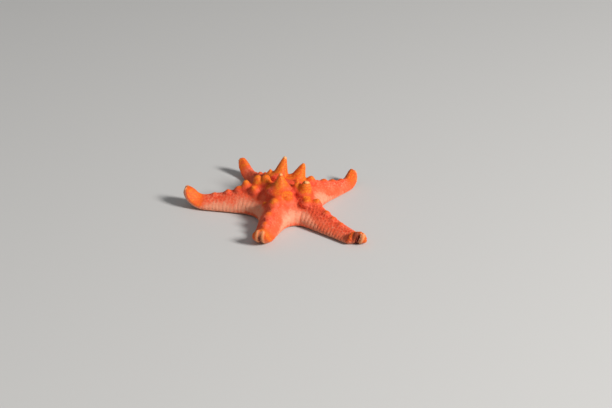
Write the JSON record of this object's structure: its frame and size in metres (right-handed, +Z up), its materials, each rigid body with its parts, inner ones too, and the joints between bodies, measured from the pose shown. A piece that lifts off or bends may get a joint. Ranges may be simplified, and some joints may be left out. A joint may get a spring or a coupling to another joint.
{
  "type": "horned sea star",
  "caption": "Star-shaped sea animal with a high domed disc, tall cone-shaped horns, tapering arms that curl up at blunt tips, and spined furrows with tube feet beneath.",
  "frame": {"origin": "on the floor, under the middle of the star's whole outline", "axes": "+Z up, away from the floor; +X to the right of the picture's view, -Y towards its camera"},
  "size_m": [0.1466, 0.1404, 0.039],
  "materials": {
    "skin": "granular, slightly moist satin; coral red with orange horns and tips and pale salmon sides",
    "sieve_plate": "finely grooved, matt",
    "spines": "smooth satin, cream with salmon roots",
    "tube_feet": "moist, slightly see-through, brown red with paler suckers"
  },
  "bodies": {
    "root": {"disc": "skin", "madreporite": "sieve_plate", "arm_front_base": "skin", "arm_front_tip": "skin", "arm_front_right_base": "skin", "arm_front_right_tip": "skin", "arm_back_right_base": "skin", "arm_back_right_tip": "skin", "arm_back_left_base": "skin", "arm_back_left_tip": "skin", "arm_left_base": "skin", "arm_left_tip": "skin"}
  },
  "joints": []
}
